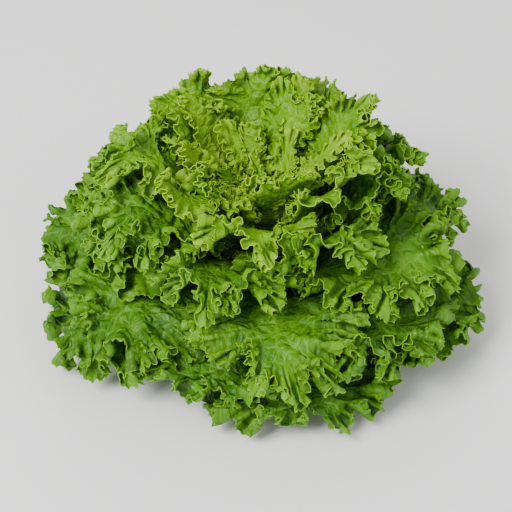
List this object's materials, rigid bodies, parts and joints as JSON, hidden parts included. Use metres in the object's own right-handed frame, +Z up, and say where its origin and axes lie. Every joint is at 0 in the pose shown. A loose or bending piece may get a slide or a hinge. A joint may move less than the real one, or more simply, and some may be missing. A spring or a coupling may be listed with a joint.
{
  "type": "leaf lettuce head",
  "caption": "Full head of frilly green leaf lettuce: ruffled leaves in a spiral round a short cut stem, standing on the stem's flat end.",
  "frame": {"origin": "middle of the flat cut face of the stem, on the surface that the head stands on", "axes": "+Z up along the stem, -Y towards the head's front as pictured, +X to the right seen from the front"},
  "size_m": [0.2696, 0.2503, 0.1446],
  "materials": {
    "outer_leaf": "waxy satin, deep green living leaf with paler veins and rim",
    "middle_leaf": "waxy satin, fresh green living leaf with paler veins and rim",
    "inner_leaf": "waxy satin, bright yellow-green young leaf",
    "stem": "cream stem, lightly browned on the cut face"
  },
  "bodies": {
    "root": {"stem": "stem", "outer_leaf_01": "outer_leaf", "outer_leaf_02": "outer_leaf", "outer_leaf_03": "outer_leaf", "outer_leaf_04": "outer_leaf", "outer_leaf_05": "outer_leaf", "outer_leaf_06": "outer_leaf", "outer_leaf_07": "outer_leaf", "outer_leaf_08": "outer_leaf", "outer_leaf_09": "outer_leaf", "outer_leaf_10": "outer_leaf", "outer_leaf_11": "outer_leaf", "outer_leaf_12": "outer_leaf", "middle_leaf_01": "middle_leaf", "middle_leaf_02": "middle_leaf", "middle_leaf_03": "middle_leaf", "middle_leaf_04": "middle_leaf", "middle_leaf_05": "middle_leaf", "middle_leaf_06": "middle_leaf", "middle_leaf_07": "middle_leaf", "middle_leaf_08": "middle_leaf", "middle_leaf_09": "middle_leaf", "middle_leaf_10": "middle_leaf", "middle_leaf_11": "middle_leaf", "middle_leaf_12": "middle_leaf", "middle_leaf_13": "middle_leaf", "middle_leaf_14": "middle_leaf", "inner_leaf_01": "inner_leaf", "inner_leaf_02": "inner_leaf", "inner_leaf_03": "inner_leaf", "inner_leaf_04": "inner_leaf", "inner_leaf_05": "inner_leaf", "inner_leaf_06": "inner_leaf", "inner_leaf_07": "inner_leaf", "inner_leaf_08": "inner_leaf", "inner_leaf_09": "inner_leaf", "inner_leaf_10": "inner_leaf", "inner_leaf_11": "inner_leaf", "heart": "inner_leaf"}
  },
  "joints": []
}
